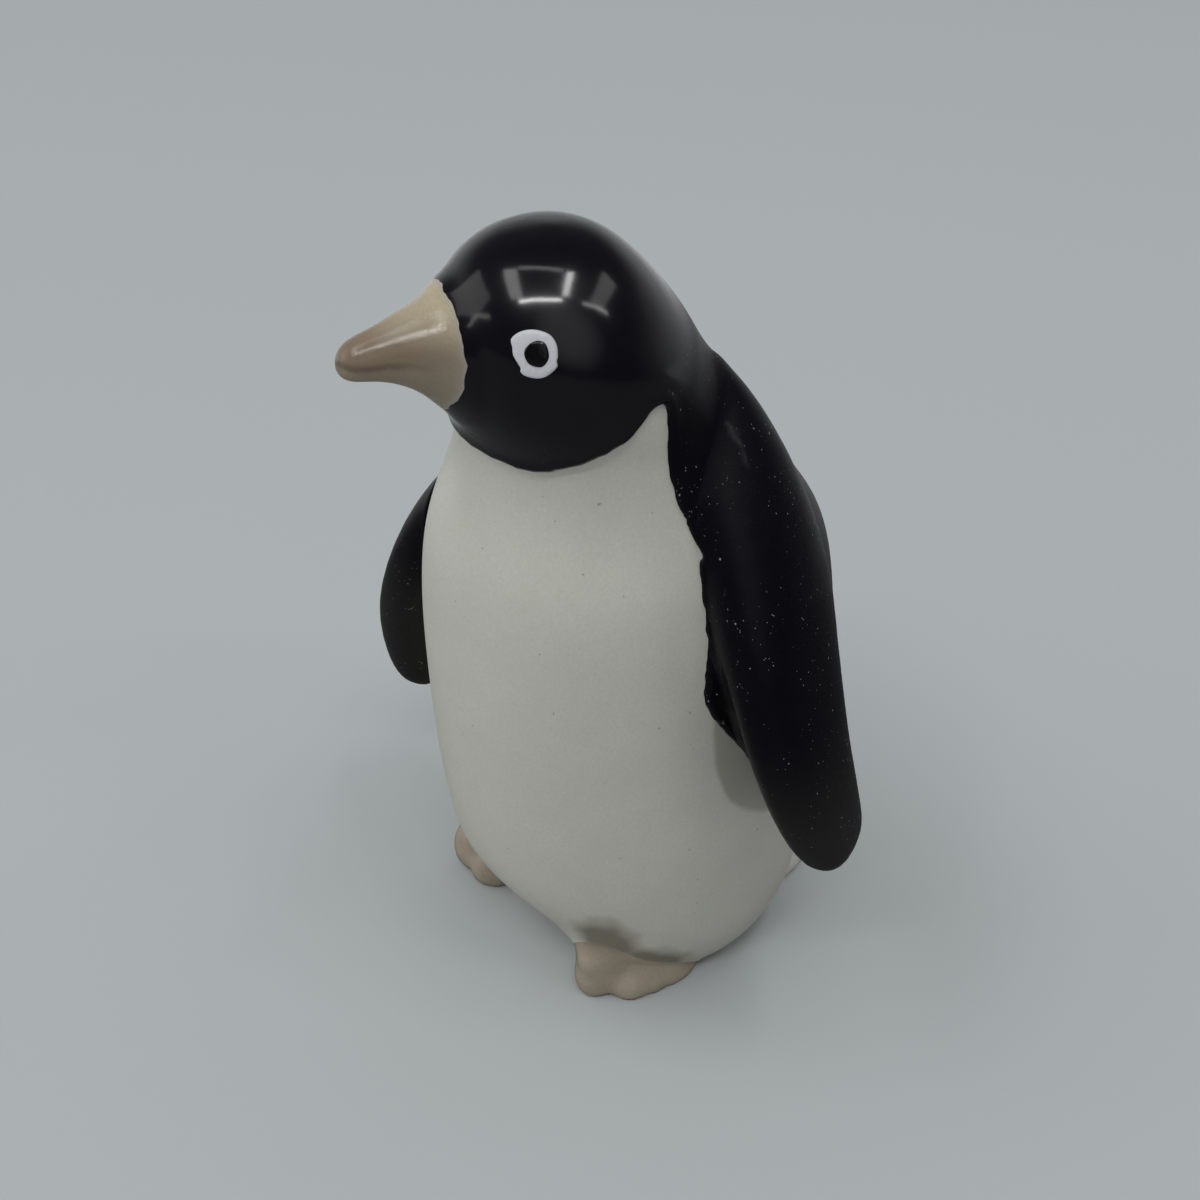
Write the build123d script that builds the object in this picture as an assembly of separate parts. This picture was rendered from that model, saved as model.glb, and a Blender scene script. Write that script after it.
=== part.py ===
from build123d import *
import math
import os

os.makedirs("parts", exist_ok=True)

# A slip-cast and glazed penguin figurine. It stands on the flat z = 0 face, with its breast towards -Y
# and its left side towards +X. Lengths are in millimetres and angles in degrees.

# Torso and head, cast as one hollow body
FIGURE_HEIGHT = 60.0        # standing face to the top of the glaze on the crown
SHOULDER_HEIGHT = 38.0      # where the torso ends and the neck begins
BODY_WIDTH = 27.6           # widest part of the belly
BREAST_REACH = 16.3         # body axis to the front of the breast
BACK_REACH = 12.6           # body axis to the back
HEAD_WIDTH = 17.4           # across the cheeks
HEAD_FORWARD = 9.3          # how far the crown lies in front of the body axis
HEAD_TURN_ANGLE = -21.0     # the head looks to the figure's right
WALL_THICKNESS = 2.4        # cast wall
FLOOR_THICKNESS = 2.6       # cast wall under the body
POUR_HOLE_DIAMETER = 8.2    # where the slip was poured out
POUR_HOLE_SETBACK = 4.6     # hole centre behind the body axis

# Black glaze, a thick brushed coat with a raised edge
COAT_THICKNESS = 0.4
HEM_HEIGHT = 9.6            # lowest edge of the coat, at the back

# Beak
BEAK_REACH = 14.7           # head centre to beak tip
BEAK_ROOT_WIDTH = 9.0
BEAK_ROOT_HEIGHT = 9.0

# Eyes, a painted ring round a pupil
EYE_RING_DIAMETER = 2.7
PUPIL_DIAMETER = 1.44
EYE_RELIEF = 0.2            # how far the eye stands out of the coat
EYE_SIDE_ANGLE = 56.0       # from the beak's direction to the eye
EYE_UP_ANGLE = 23.0         # above the level of the head's centre

# Flippers
FLIPPER_LENGTH = 30.4       # root inside the neck to tip, measured down
FLIPPER_WIDTH = 9.6         # front edge to rear edge
FLIPPER_THICKNESS = 5.4
LEFT_FLIPPER_SPLAY = 6.8    # tip outside the widest part of the belly
RIGHT_FLIPPER_SPLAY = 8.4
RIGHT_FLIPPER_DROP = 6.4    # the right flipper was joined lower
RIGHT_FLIPPER_ADVANCE = 1.5  # and further forward

# Feet
FOOT_LENGTH = 9.0           # heel inside the body to toe tip
FOOT_WIDTH = 7.0
FOOT_HEIGHT = 4.6
LEFT_TOE_INSET = 8.3        # toe tip inside the widest part of the belly
LEFT_TOE_REACH = 11.3       # toe tip in front of the body axis
LEFT_FOOT_ANGLE = 6.0
RIGHT_TOE_INSET = 4.6
RIGHT_TOE_REACH = 9.1
RIGHT_FOOT_ANGLE = 24.0
TOE_GROOVE_DIAMETER = 1.6

# Tail
TAIL_REACH = 15.8           # body axis to tail tip
TAIL_LENGTH = 11.0          # tip to the end inside the body
TAIL_WIDTH = 16.0
TAIL_HEIGHT = 7.6

OVERRUN = 2.0               # how far every cutting shape passes the piece that it cuts
SECTION_POINTS = 16

# Sections of the torso: height, half width, reach to the front, reach to the back, fullness of the breast
TORSO_SHARES = [
    (0.00, 0.68, 0.46, 0.90, 1.00),
    (0.03, 0.76, 0.54, 0.95, 1.00),
    (0.08, 0.84, 0.64, 0.98, 1.00),
    (0.16, 0.91, 0.76, 1.00, 1.00),
    (0.26, 0.96, 0.87, 0.98, 1.00),
    (0.39, 1.00, 0.94, 0.94, 1.01),
    (0.55, 1.00, 0.98, 0.92, 1.05),
    (0.71, 0.98, 1.00, 0.88, 1.11),
    (0.87, 0.95, 1.00, 0.81, 1.16),
    (1.00, 0.89, 0.97, 0.73, 1.17),
]

# Sections of the neck and head: height, half width, reach to the front, reach to the back, fullness,
# lean and turn
HEAD_SHARES = [
    (0.16, 1.26, 1.59, 0.92, 1.14, 0.09, 0.19),
    (0.30, 1.10, 1.22, 1.03, 1.06, 0.37, 0.48),
    (0.41, 1.01, 1.02, 1.03, 1.00, 0.60, 0.76),
    (0.57, 0.99, 0.99, 0.94, 1.00, 0.77, 1.00),
    (0.71, 0.92, 0.94, 0.83, 1.00, 0.86, 1.00),
    (0.83, 0.77, 0.80, 0.68, 1.00, 0.93, 1.00),
    (0.93, 0.55, 0.59, 0.48, 1.00, 0.97, 1.00),
    (0.98, 0.33, 0.36, 0.30, 1.00, 0.99, 1.00),
]
HEAD_CENTRE_SHARE = 0.62    # of the head's rise
HEAD_CENTRE_LEAN_SHARE = 0.86

# Edge of the white breast on each side, from the throat down. At the throat it is measured from the
# head's centre: forwards in half head widths, and down in beak heights.
THROAT_SHARES = [
    (0.69, 0.570),
    (0.56, 0.477),
    (0.41, 0.343),
    (0.24, 0.230),
    (0.07, 0.057),
    (-0.04, 0.017),
]
# Lower down: reach in front of the body axis, and height, which counts 1 at the shoulder and 2 at the crown
SHOULDER_EDGE_SHARES = [
    (0.43, 1.532),
    (0.42, 1.380),
    (0.37, 1.208),
    (0.32, 1.060),
    (0.38, 0.921),
    (0.39, 0.829),
    (0.32, 0.731),
    (0.17, 0.619),
    (0.02, 0.489),
]
# The hem round the back: reach behind the body axis, and height in heights of the lowest edge
HEM_SHARES = [
    (0.35, 1.38),
    (0.72, 1.03),
]

# Sections of the beak: reach, rise, half width, half height
BEAK_SHARES = [
    (0.435, 0.12, 1.00, 1.00),
    (0.53, 0.13, 0.82, 0.87),
    (0.65, 0.15, 0.63, 0.67),
    (0.775, 0.16, 0.48, 0.50),
    (0.885, 0.16, 0.37, 0.375),
    (0.965, 0.15, 0.25, 0.25),
    (0.99, 0.145, 0.14, 0.14),
]

# Sections of a flipper: drop, splay, reach to the front, half width, half thickness, twist
FLIPPER_SHARES = [
    (0.00, -1.30, 0.26, 0.56, 0.90, 0.0),
    (0.10, -0.86, 0.24, 0.74, 1.04, 0.0),
    (0.22, -0.38, 0.225, 0.90, 1.06, 0.25),
    (0.36, 0.08, 0.215, 0.98, 1.00, 0.5),
    (0.52, 0.46, 0.205, 0.98, 0.90, 0.75),
    (0.70, 0.76, 0.185, 0.88, 0.78, 1.0),
    (0.86, 0.92, 0.15, 0.70, 0.66, 1.0),
    (0.955, 0.975, 0.13, 0.48, 0.46, 1.0),
    (0.99, 0.995, 0.125, 0.24, 0.22, 1.0),
]
FLIPPER_TWIST_ANGLE = -8.0
FLIPPER_ROOT_SHARE = 0.50   # of the head's rise, above the shoulder

# Sections of a foot from heel to toe: length, half width, height
FOOT_SHARES = [
    (0.00, 0.92, 1.00),
    (0.35, 1.00, 1.00),
    (0.60, 0.97, 0.90),
    (0.80, 0.82, 0.70),
    (0.93, 0.55, 0.44),
    (0.985, 0.27, 0.20),
]
TOE_GROOVE_SHARES = (-0.34, 0.34)

# Sections of the tail from inside the body to its tip: length, half width, height
TAIL_SHARES = [
    (0.00, 1.00, 1.00),
    (0.35, 0.99, 1.00),
    (0.60, 0.94, 0.80),
    (0.80, 0.84, 0.52),
    (0.93, 0.66, 0.30),
    (0.985, 0.44, 0.16),
]

HEAD_RISE = FIGURE_HEIGHT - COAT_THICKNESS - SHOULDER_HEIGHT
HEAD_CENTRE = Vector(
    0,
    -HEAD_FORWARD * HEAD_CENTRE_LEAN_SHARE,
    SHOULDER_HEIGHT + HEAD_RISE * HEAD_CENTRE_SHARE,
)


def oval(plane, side, front, back, fullness=1.0):
    """One closed section, begun at its back: an oval that reaches differently to front and back.

    A fullness over 1 squares the two corners of its front."""
    points = []
    for step in range(SECTION_POINTS):
        angle = 2 * math.pi * step / SECTION_POINTS + math.pi
        across = math.sin(angle)
        ahead = math.cos(angle)
        reach = front if ahead > 0 else back
        power = 1 / fullness if ahead > 0 else 1
        x = side * math.copysign(abs(across) ** power, across)
        y = -reach * math.copysign(abs(ahead) ** power, ahead)
        points.append(plane.from_local_coords((x, y)))
    knots = [step / SECTION_POINTS for step in range(SECTION_POINTS + 1)]
    return Wire([Edge.make_spline(points, periodic=True, parameters=knots)])


def turned(bearing, rise=0.0):
    """The direction that lies this far round from the breast towards the left, and this far up."""
    flat = math.cos(math.radians(rise))
    return Vector(
        flat * math.sin(math.radians(bearing)),
        -flat * math.cos(math.radians(bearing)),
        math.sin(math.radians(rise)),
    )


def body_form(growth):
    """Torso and head as one solid, with every section grown, or shrunk, by the same amount."""
    rings = []
    for height, side, front, back, fullness in TORSO_SHARES:
        plane = Plane(origin=(0, 0, SHOULDER_HEIGHT * height))
        rings.append((plane, BODY_WIDTH / 2 * side, BREAST_REACH * front, BACK_REACH * back, fullness))
    for height, side, front, back, fullness, lean, turn in HEAD_SHARES:
        level = SHOULDER_HEIGHT + (HEAD_RISE + growth) * height
        centre = (0, -HEAD_FORWARD * lean, level)
        facing = turned(90 + HEAD_TURN_ANGLE * turn)
        plane = Plane(origin=centre, x_dir=facing)
        radius = HEAD_WIDTH / 2
        rings.append((plane, radius * side, radius * front, radius * back, fullness))
    sections = []
    for plane, side, front, back, fullness in rings:
        if min(side, front, back) > -growth * 1.5:
            sections.append(oval(plane, side + growth, front + growth, back + growth, fullness))
    crown = Vertex(0, -HEAD_FORWARD, SHOULDER_HEIGHT + HEAD_RISE + growth)
    return Solid.make_loft(sections + [crown])


def above(height):
    """A block that holds everything over one height."""
    size = 2 * (FIGURE_HEIGHT + OVERRUN)
    return Pos(0, 0, height) * Box(size, size, size, align=(Align.CENTER, Align.CENTER, Align.MIN))


def make_body_shell():
    """White ware: the cast body with its hollow and the pour hole under it."""
    hollow = body_form(-WALL_THICKNESS) & above(FLOOR_THICKNESS)
    hole_length = FLOOR_THICKNESS + 2 * OVERRUN
    hole = Pos(0, POUR_HOLE_SETBACK, FLOOR_THICKNESS / 2) * Cylinder(POUR_HOLE_DIAMETER / 2, hole_length)
    return body_form(0) - hollow - hole


def make_beak():
    """A blunt cone that flares into the face."""
    facing = turned(HEAD_TURN_ANGLE)
    sections = []
    for reach, rise, side, depth in BEAK_SHARES:
        centre = HEAD_CENTRE + facing * (BEAK_REACH * reach) + Vector(0, 0, BEAK_ROOT_HEIGHT * rise)
        plane = Plane(origin=centre, x_dir=turned(HEAD_TURN_ANGLE + 90), z_dir=facing)
        half_height = BEAK_ROOT_HEIGHT / 2 * depth
        sections.append(oval(plane, BEAK_ROOT_WIDTH / 2 * side, half_height, half_height))
    tip = HEAD_CENTRE + facing * BEAK_REACH + Vector(0, 0, BEAK_ROOT_HEIGHT * BEAK_SHARES[-1][1])
    return Solid.make_loft(sections + [Vertex(*tip)])


def level(share):
    """The height of a share that counts 1 at the shoulder and 2 at the crown."""
    return SHOULDER_HEIGHT * min(share, 1) + HEAD_RISE * max(share - 1, 0)


def make_coat_window():
    """What the black coat leaves bare: throat, breast, belly and the band over the floor."""
    throat = []
    for y, z in THROAT_SHARES:
        throat.append((HEAD_CENTRE.Y - HEAD_WIDTH / 2 * y, HEAD_CENTRE.Z - BEAK_ROOT_HEIGHT * z))
    shoulder = [(-BREAST_REACH * y, level(z)) for y, z in SHOULDER_EDGE_SHARES]
    hem = [(BACK_REACH * y, HEM_HEIGHT * z) for y, z in HEM_SHARES]
    front = -2 * BREAST_REACH
    rear = 2 * BACK_REACH
    edges = [
        Line((front, throat[0][1]), throat[0]),
        Spline(throat),
        Line(throat[-1], shoulder[0]),
        Spline(shoulder + hem + [(rear, HEM_HEIGHT)]),
        Line((rear, HEM_HEIGHT), (rear, -OVERRUN)),
        Line((rear, -OVERRUN), (front, -OVERRUN)),
        Line((front, -OVERRUN), (front, throat[0][1])),
    ]
    side_view = Plane.YZ.offset(-BODY_WIDTH)
    return extrude(side_view * make_face(edges), BODY_WIDTH * 2)


def make_eye(side):
    """A raised ring and the pupil in it, both lying on the coat."""
    outward = turned(HEAD_TURN_ANGLE + side * EYE_SIDE_ANGLE, EYE_UP_ANGLE)
    plane = Plane(origin=HEAD_CENTRE + outward * (HEAD_WIDTH / 4), z_dir=outward)
    rod_length = HEAD_WIDTH / 2
    bottom = (Align.CENTER, Align.CENTER, Align.MIN)
    disc = plane * Cylinder(EYE_RING_DIAMETER / 2, rod_length, align=bottom)
    dot = plane * Cylinder(PUPIL_DIAMETER / 2, rod_length, align=bottom)
    eye = (disc - body_form(COAT_THICKNESS)) & body_form(COAT_THICKNESS + EYE_RELIEF)
    return eye - dot, eye & dot


def make_flipper(side, tip_splay, drop, advance):
    """A wing that grows out of the shoulder and stands off the belly at its tip."""
    spine = []
    for fall, splay, front, _, _, _ in FLIPPER_SHARES:
        across = BODY_WIDTH / 2 + tip_splay * splay
        height = SHOULDER_HEIGHT + HEAD_RISE * FLIPPER_ROOT_SHARE - FLIPPER_LENGTH * fall - drop
        spine.append(Vector(side * across, -BREAST_REACH * front - advance, height))
    sections = []
    for index, (_, _, _, width, thickness, twist) in enumerate(FLIPPER_SHARES):
        before = spine[max(index - 1, 0)]
        after = spine[min(index + 1, len(spine) - 1)]
        along = (after - before).normalized()
        chord = turned(180 - side * FLIPPER_TWIST_ANGLE * twist)
        chord = (chord - along * chord.dot(along)).normalized()
        half_thickness = FLIPPER_THICKNESS / 2 * thickness
        plane = Plane(origin=spine[index], x_dir=chord, z_dir=along)
        sections.append(oval(plane, FLIPPER_WIDTH / 2 * width, half_thickness, half_thickness))
    tip = spine[-1] + (spine[-1] - spine[-2]).normalized() * (FLIPPER_LENGTH * (1 - FLIPPER_SHARES[-1][0]))
    return Solid.make_loft(sections + [Vertex(*tip)])


def flat_loft(shares, start, heading, length, width, height):
    """A rounded wedge that lies on the floor: full oval sections, kept above the standing face."""
    sections = []
    for along, side, rise in shares:
        plane = Plane(origin=start + heading * (length * along), x_dir=heading.cross(Vector(0, 0, 1)),
                      z_dir=heading)
        sections.append(oval(plane, width / 2 * side, height * rise, height * rise))
    return Solid.make_loft(sections + [Vertex(*(start + heading * length))]) & above(0)


def make_foot(side, toe_inset, toe_reach, angle):
    """One foot with the valleys between its three toes."""
    heading = turned(side * angle)
    toe = Vector(side * (BODY_WIDTH / 2 - toe_inset), -toe_reach, 0)
    heel = toe - heading * FOOT_LENGTH
    foot = flat_loft(FOOT_SHARES, heel, heading, FOOT_LENGTH, FOOT_WIDTH, FOOT_HEIGHT)
    across = heading.cross(Vector(0, 0, 1))
    for offset in TOE_GROOVE_SHARES:
        lowest = toe + across * (FOOT_WIDTH * offset)
        highest = toe + across * (FOOT_WIDTH * offset / 2) - heading * (FOOT_LENGTH / 2)
        highest = highest + Vector(0, 0, FOOT_HEIGHT + TOE_GROOVE_DIAMETER / 4)
        run = highest - lowest
        plane = Plane(origin=(highest + lowest) / 2, z_dir=run)
        foot = foot - plane * Cylinder(TOE_GROOVE_DIAMETER / 2, run.length + 2 * OVERRUN)
    return foot


def make_tail():
    """A short broad wedge on which the figure leans back."""
    heading = Vector(0, 1, 0)
    start = Vector(0, TAIL_REACH - TAIL_LENGTH, 0)
    return flat_loft(TAIL_SHARES, start, heading, TAIL_LENGTH, TAIL_WIDTH, TAIL_HEIGHT)


body = body_form(0)
coated_body = body_form(COAT_THICKNESS)
left_flipper = make_flipper(1, LEFT_FLIPPER_SPLAY, 0, 0)
right_flipper = make_flipper(-1, RIGHT_FLIPPER_SPLAY, RIGHT_FLIPPER_DROP, RIGHT_FLIPPER_ADVANCE)
left_foot = make_foot(1, LEFT_TOE_INSET, LEFT_TOE_REACH, LEFT_FOOT_ANGLE)
right_foot = make_foot(-1, RIGHT_TOE_INSET, RIGHT_TOE_REACH, RIGHT_FOOT_ANGLE)
pieces = {
    "body_shell": make_body_shell(),
    "black_coat": coated_body - make_coat_window() - make_beak() - body,
    "beak": make_beak() - body,
    "left_flipper": left_flipper - coated_body,
    "right_flipper": right_flipper - coated_body,
    "left_foot": left_foot - body,
    "right_foot": right_foot - body,
    "tail": make_tail() - body,
}
for name, side in (("left", 1), ("right", -1)):
    ring, pupil = make_eye(side)
    pieces[name + "_eye_ring"] = ring
    pieces[name + "_pupil"] = pupil

for node, piece in pieces.items():
    export_step(piece, f"parts/{node}.step")
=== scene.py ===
import math

import bmesh
import bpy
import numpy as np
from mathutils import Matrix, Vector, kdtree, noise
from mathutils.bvhtree import BVHTree


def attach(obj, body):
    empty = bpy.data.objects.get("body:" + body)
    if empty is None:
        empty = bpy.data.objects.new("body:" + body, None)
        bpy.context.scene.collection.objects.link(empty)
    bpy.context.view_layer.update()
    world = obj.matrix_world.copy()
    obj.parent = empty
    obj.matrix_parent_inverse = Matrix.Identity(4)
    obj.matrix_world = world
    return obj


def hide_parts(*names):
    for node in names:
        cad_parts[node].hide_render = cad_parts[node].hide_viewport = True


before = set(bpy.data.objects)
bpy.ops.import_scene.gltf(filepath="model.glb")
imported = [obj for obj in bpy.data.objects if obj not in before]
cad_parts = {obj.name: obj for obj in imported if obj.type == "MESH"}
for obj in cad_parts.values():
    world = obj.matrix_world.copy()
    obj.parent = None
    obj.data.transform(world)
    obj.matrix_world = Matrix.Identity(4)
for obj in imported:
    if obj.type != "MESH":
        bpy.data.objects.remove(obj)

MM = 0.001
scene = bpy.context.scene
for name in ("Cube", "Light", "Camera"):
    if name in bpy.data.objects:
        bpy.data.objects.remove(bpy.data.objects[name])
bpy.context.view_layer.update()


# Camera
# The figure is seen from its front left, from above, with a lens close to it, so that the far side is
# clearly smaller than the near one.
CAMERA_AZIMUTH = math.radians(46.0)
CAMERA_ELEVATION = math.radians(35.5)
CAMERA_ROLL = math.radians(1.5)
CAMERA_DISTANCE = 125 * MM
CAMERA_TARGET = Vector((-1.5, -3.0, 29.1)) * MM
SENSOR_WIDTH = 36.0
LENS_SHARE = 1750 / 1200

toward_camera = Vector((
    math.sin(CAMERA_AZIMUTH) * math.cos(CAMERA_ELEVATION),
    -math.cos(CAMERA_AZIMUTH) * math.cos(CAMERA_ELEVATION),
    math.sin(CAMERA_ELEVATION),
))
camera = bpy.data.objects.new("camera", bpy.data.cameras.new("camera"))
scene.collection.objects.link(camera)
aim = toward_camera.to_track_quat("Z", "Y").to_matrix().to_4x4()
camera.matrix_world = (
    Matrix.Translation(CAMERA_TARGET + toward_camera * CAMERA_DISTANCE)
    @ aim @ Matrix.Rotation(CAMERA_ROLL, 4, "Z")
)
camera.data.sensor_width = SENSOR_WIDTH
camera.data.lens = SENSOR_WIDTH * LENS_SHARE
camera.data.clip_start = 0.005
scene.camera = camera


# Room
# The figure stands on a plain pale sheet. Pale walls and far strips of window light it softly, a little
# more from behind than from the front, and the windows mirror in the glossy head.
scene.view_settings.view_transform = "Standard"


class Socket:
    """A shader socket on which arithmetic adds Math nodes."""

    def __init__(self, shader, socket):
        self.shader = shader
        self.socket = socket

    def math(self, operation, *values):
        return self.shader.add("ShaderNodeMath", {"operation": operation}, self, *values)

    def __add__(self, other):
        return self.math("ADD", other)

    def __sub__(self, other):
        return self.math("SUBTRACT", other)

    def __rsub__(self, other):
        return self.shader.add("ShaderNodeMath", {"operation": "SUBTRACT"}, other, self)

    def __mul__(self, other):
        return self.math("MULTIPLY", other)

    def __truediv__(self, other):
        return self.math("DIVIDE", other)

    def step(self, low, high):
        """0 under low, 1 over high and a smooth slope between them."""
        return self.shader.add(
            "ShaderNodeMapRange", {"interpolation_type": "SMOOTHSTEP"},
            self, low, high, 0.0, 1.0)


class Shader:
    """A material or the room's world, with its surface, and the one method that adds nodes to it."""

    def __init__(self, name, owner=None, **settings):
        self.material = owner or bpy.data.materials.new(name)
        self.material.use_nodes = True
        self.nodes = self.material.node_tree.nodes
        self.links = self.material.node_tree.links
        self.surface = self.nodes["Background" if owner else "Principled BSDF"]
        for key, value in settings.items():
            self.surface.inputs[key.replace("_", " ")].default_value = value

    def add(self, kind, settings, *values, out=0, **named):
        node = self.nodes.new(kind)
        for key, value in settings.items():
            setattr(node, key, value)
        for key, value in list(enumerate(values)) + [(k.replace("_", " "), v) for k, v in named.items()]:
            if value is None:
                continue
            if isinstance(value, Socket):
                self.links.new(value.socket, node.inputs[key])
            else:
                node.inputs[key].default_value = value
        return Socket(self, node.outputs[out])

    def place(self, scale=1000.0, stretch=(1, 1, 1)):
        """Object coordinates in millimetres, or in another unit."""
        where = self.add("ShaderNodeTexCoord", {}, out="Object")
        size = [scale * part for part in stretch]
        return self.add("ShaderNodeMapping", {"vector_type": "POINT"}, where, None, None, size)

    def noise(self, size, detail=2.0, stretch=(1, 1, 1), rough=0.5):
        """A noise from 0 to 1 whose grains are about this many millimetres across."""
        return self.add("ShaderNodeTexNoise", {}, self.place(1.0 / (size * MM), stretch), None, 1.0,
                        Detail=detail, Roughness=rough)

    def mix(self, share, first, second):
        """The second colour over the first by a share."""
        node = self.nodes.new("ShaderNodeMix")
        node.data_type = "RGBA"
        for index, value in ((0, share), (6, first), (7, second)):
            if isinstance(value, Socket):
                self.links.new(value.socket, node.inputs[index])
            else:
                node.inputs[index].default_value = value
        return Socket(self, node.outputs[2])

    def feed(self, name, value):
        self.links.new(value.socket, self.surface.inputs[name])

    def bump(self, height, depth):
        """Height from 0 to 1 pushes the surface out by up to this many metres."""
        return self.add("ShaderNodeBump", {}, Strength=1.0, Distance=depth, Height=height)


def colour(r, g, b):
    """A colour of the photograph, as 0 to 255 screen values."""
    return tuple(((c / 255 + 0.055) / 1.055) ** 2.4 for c in (r, g, b)) + (1.0,)


FLOOR_COLOUR = colour(174, 179, 180)
FLOOR_REACH = 1.2
flat_view = Vector((toward_camera.x, toward_camera.y, 0)).normalized()

bm = bmesh.new()
bmesh.ops.create_grid(bm, x_segments=1, y_segments=1, size=FLOOR_REACH)
floor_mesh = bpy.data.meshes.new("floor")
bm.to_mesh(floor_mesh)
bm.free()
floor = bpy.data.objects.new("floor", floor_mesh)
scene.collection.objects.link(floor)
paper = Shader("pale_paper", Roughness=0.7, Specular_IOR_Level=0.2)
near = paper.add("ShaderNodeVectorMath", {"operation": "DOT_PRODUCT"}, paper.place(), flat_view,
                 out="Value")
is_seen = paper.add("ShaderNodeLightPath", {}, out="Is Camera Ray")
is_mirrored = paper.add("ShaderNodeLightPath", {}, out="Is Glossy Ray")
# Toward the camera the floor turns dark for glossy rays only: painted shade that shows in the glaze's
# reflections.
reflected_floor_shade = is_mirrored * near.step(-110.0, -30.0)
sheet = paper.mix(is_seen, (0.62, 0.63, 0.63, 1), FLOOR_COLOUR)
paper.feed("Base Color", paper.mix(reflected_floor_shade * 0.85, sheet, (0.02, 0.02, 0.022, 1)))
floor.data.materials.append(paper.material)


def bearing(degrees, rise=0.0):
    """The direction this far round from the breast towards the left, and this far up."""
    angle = math.radians(degrees)
    flat = math.cos(math.radians(rise))
    return Vector((flat * math.sin(angle), -flat * math.cos(angle), math.sin(math.radians(rise))))


camera_right = camera.matrix_world.to_3x3() @ Vector((1, 0, 0))
world = bpy.data.worlds.new("room")
scene.world = world
room = Shader("room", owner=world, Color=(0.97, 0.99, 1.0, 1.0))
looking = room.add("ShaderNodeTexCoord", {}, out="Generated")


def along(direction):
    """How nearly a ray into the room runs along a direction, from -1 to 1."""
    return room.add("ShaderNodeVectorMath", {"operation": "DOT_PRODUCT"}, looking, direction, out="Value")


behind = along(-flat_view).step(-0.5, 0.9)
low = 1 - along((0, 0, 1)).step(0.05, 0.5)
leftwards = along(-camera_right).step(0.1, 1.0)
walls = behind * (low * 0.3 + 0.56) + leftwards * 0.56 + 0.13
mirrored = behind * low * 0.4 + along(bearing(60, 30)).step(0.86, 1.0) * 0.4 + 0.03
is_mirrored = room.add("ShaderNodeLightPath", {}, out="Is Glossy Ray")
room.feed("Strength", walls * (1 - is_mirrored) + mirrored * is_mirrored)

WINDOW_DISTANCE = 1.5
LOOKED_AT = Vector((1, -10, 52)) * MM


def add_window(name, start, end, degrees_wide, level):
    """A soft strip of window between two bearings, as wide as this and as bright as this."""
    first, last = bearing(*start), bearing(*end)
    away = (first + last).normalized()
    run = last - first
    run -= away * run.dot(away)
    data = bpy.data.lights.new(name, "AREA")
    data.shape = "RECTANGLE"
    data.size = run.length * WINDOW_DISTANCE
    data.size_y = 2 * math.tan(math.radians(degrees_wide / 2)) * WINDOW_DISTANCE
    data.energy = math.pi * data.size * data.size_y * level
    run.normalize()
    turn = Matrix((run, away.cross(run), away)).transposed().to_4x4()
    lamp = bpy.data.objects.new(name, data)
    lamp.matrix_world = Matrix.Translation(LOOKED_AT + away * WINDOW_DISTANCE) @ turn
    scene.collection.objects.link(lamp)


add_window("skylight_front", (5, 46), (68, 57), 3.0, 24.0)
add_window("skylight_left", (-55, 62), (3, 48), 11.0, 3.2)
add_window("skylight_right", (140, 76), (72, 60), 4.0, 14.0)
add_window("skylight_back", (-55, 68), (140, 80), 4.0, 2.5)
add_window("side_window", (100, 46), (160, 42), 12.0, 1.2)
add_window("side_window_edge", (88, 52), (112, 38), 2.5, 6.0)
add_window("far_window", (-66, 24), (-26, 24), 22.0, 0.8)
add_window("far_window_edge", (-47, 4), (-16, 21), 2.5, 2.5)


# Skin
# The head and body are one hollow casting in white clay, with a flat foot rim and a pour hole under it.
# The beak, flippers, feet and tail were luted on while the clay was soft, so they flow into it. The skin
# over all of them is made first, in one and in millimetres, and is then divided into its pieces.
VOXEL = 0.3
HEAD_CENTRE = Vector((0, -8.0, 51.4))
HOLE_PLACE = Vector((0, 4.6, 0))
HOLE_RADIUS = 4.1
FLOOR_THICKNESS = 2.6


def from_node(node):
    """A merged copy of a CAD node's mesh, in millimetres."""
    copy = bmesh.new()
    copy.from_mesh(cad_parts[node].data)
    bmesh.ops.scale(copy, vec=Vector((1, 1, 1)) / MM, verts=copy.verts)
    bmesh.ops.remove_doubles(copy, verts=copy.verts, dist=0.0005)
    copy.normal_update()
    return copy


def reached_from(seed, barrier):
    """The faces that can be walked to from a face without a step onto the barrier's faces."""
    reached = {seed}
    waiting = [seed]
    while waiting:
        for edge in waiting.pop().edges:
            for face in edge.link_faces:
                if face not in reached and face not in barrier:
                    reached.add(face)
                    waiting.append(face)
    return reached


def smooth_rows(rows, steps):
    """The rows of a table with more rows between them, on a smooth curve through each column."""
    rows = np.array(rows, float)
    padded = np.vstack([2 * rows[0] - rows[1], rows, 2 * rows[-1] - rows[-2]])
    result = []
    for before, first, second, after in zip(padded, padded[1:], padded[2:], padded[3:]):
        for step in range(steps):
            t = step / steps
            result.append(0.5 * (2 * first + (second - before) * t
                                 + (2 * before - 5 * first + 4 * second - after) * t ** 2
                                 + (3 * first - before - 3 * second + after) * t ** 3))
    return result + [rows[-1]]


def add_loft(bm, rings, segments=28):
    """Ovals bridged into one closed form. A ring is its centre, two half axes and a fullness."""
    loops = []
    for index, (centre, across, along, fullness) in enumerate(rings):
        made = bmesh.ops.create_circle(bm, segments=segments, radius=1.0,
                                       cap_ends=index in (0, len(rings) - 1))
        for vert in made["verts"]:
            x = math.copysign(abs(vert.co.x) ** (1 / fullness), vert.co.x)
            y = math.copysign(abs(vert.co.y) ** (1 / fullness), vert.co.y)
            vert.co = centre + across * x + along * y
        ring = set(made["verts"])
        loops.append([edge for edge in bm.edges if edge.verts[0] in ring and edge.verts[1] in ring])
    for lower, upper in zip(loops, loops[1:]):
        bmesh.ops.bridge_loops(bm, edges=lower + upper)
    return bm


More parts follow.
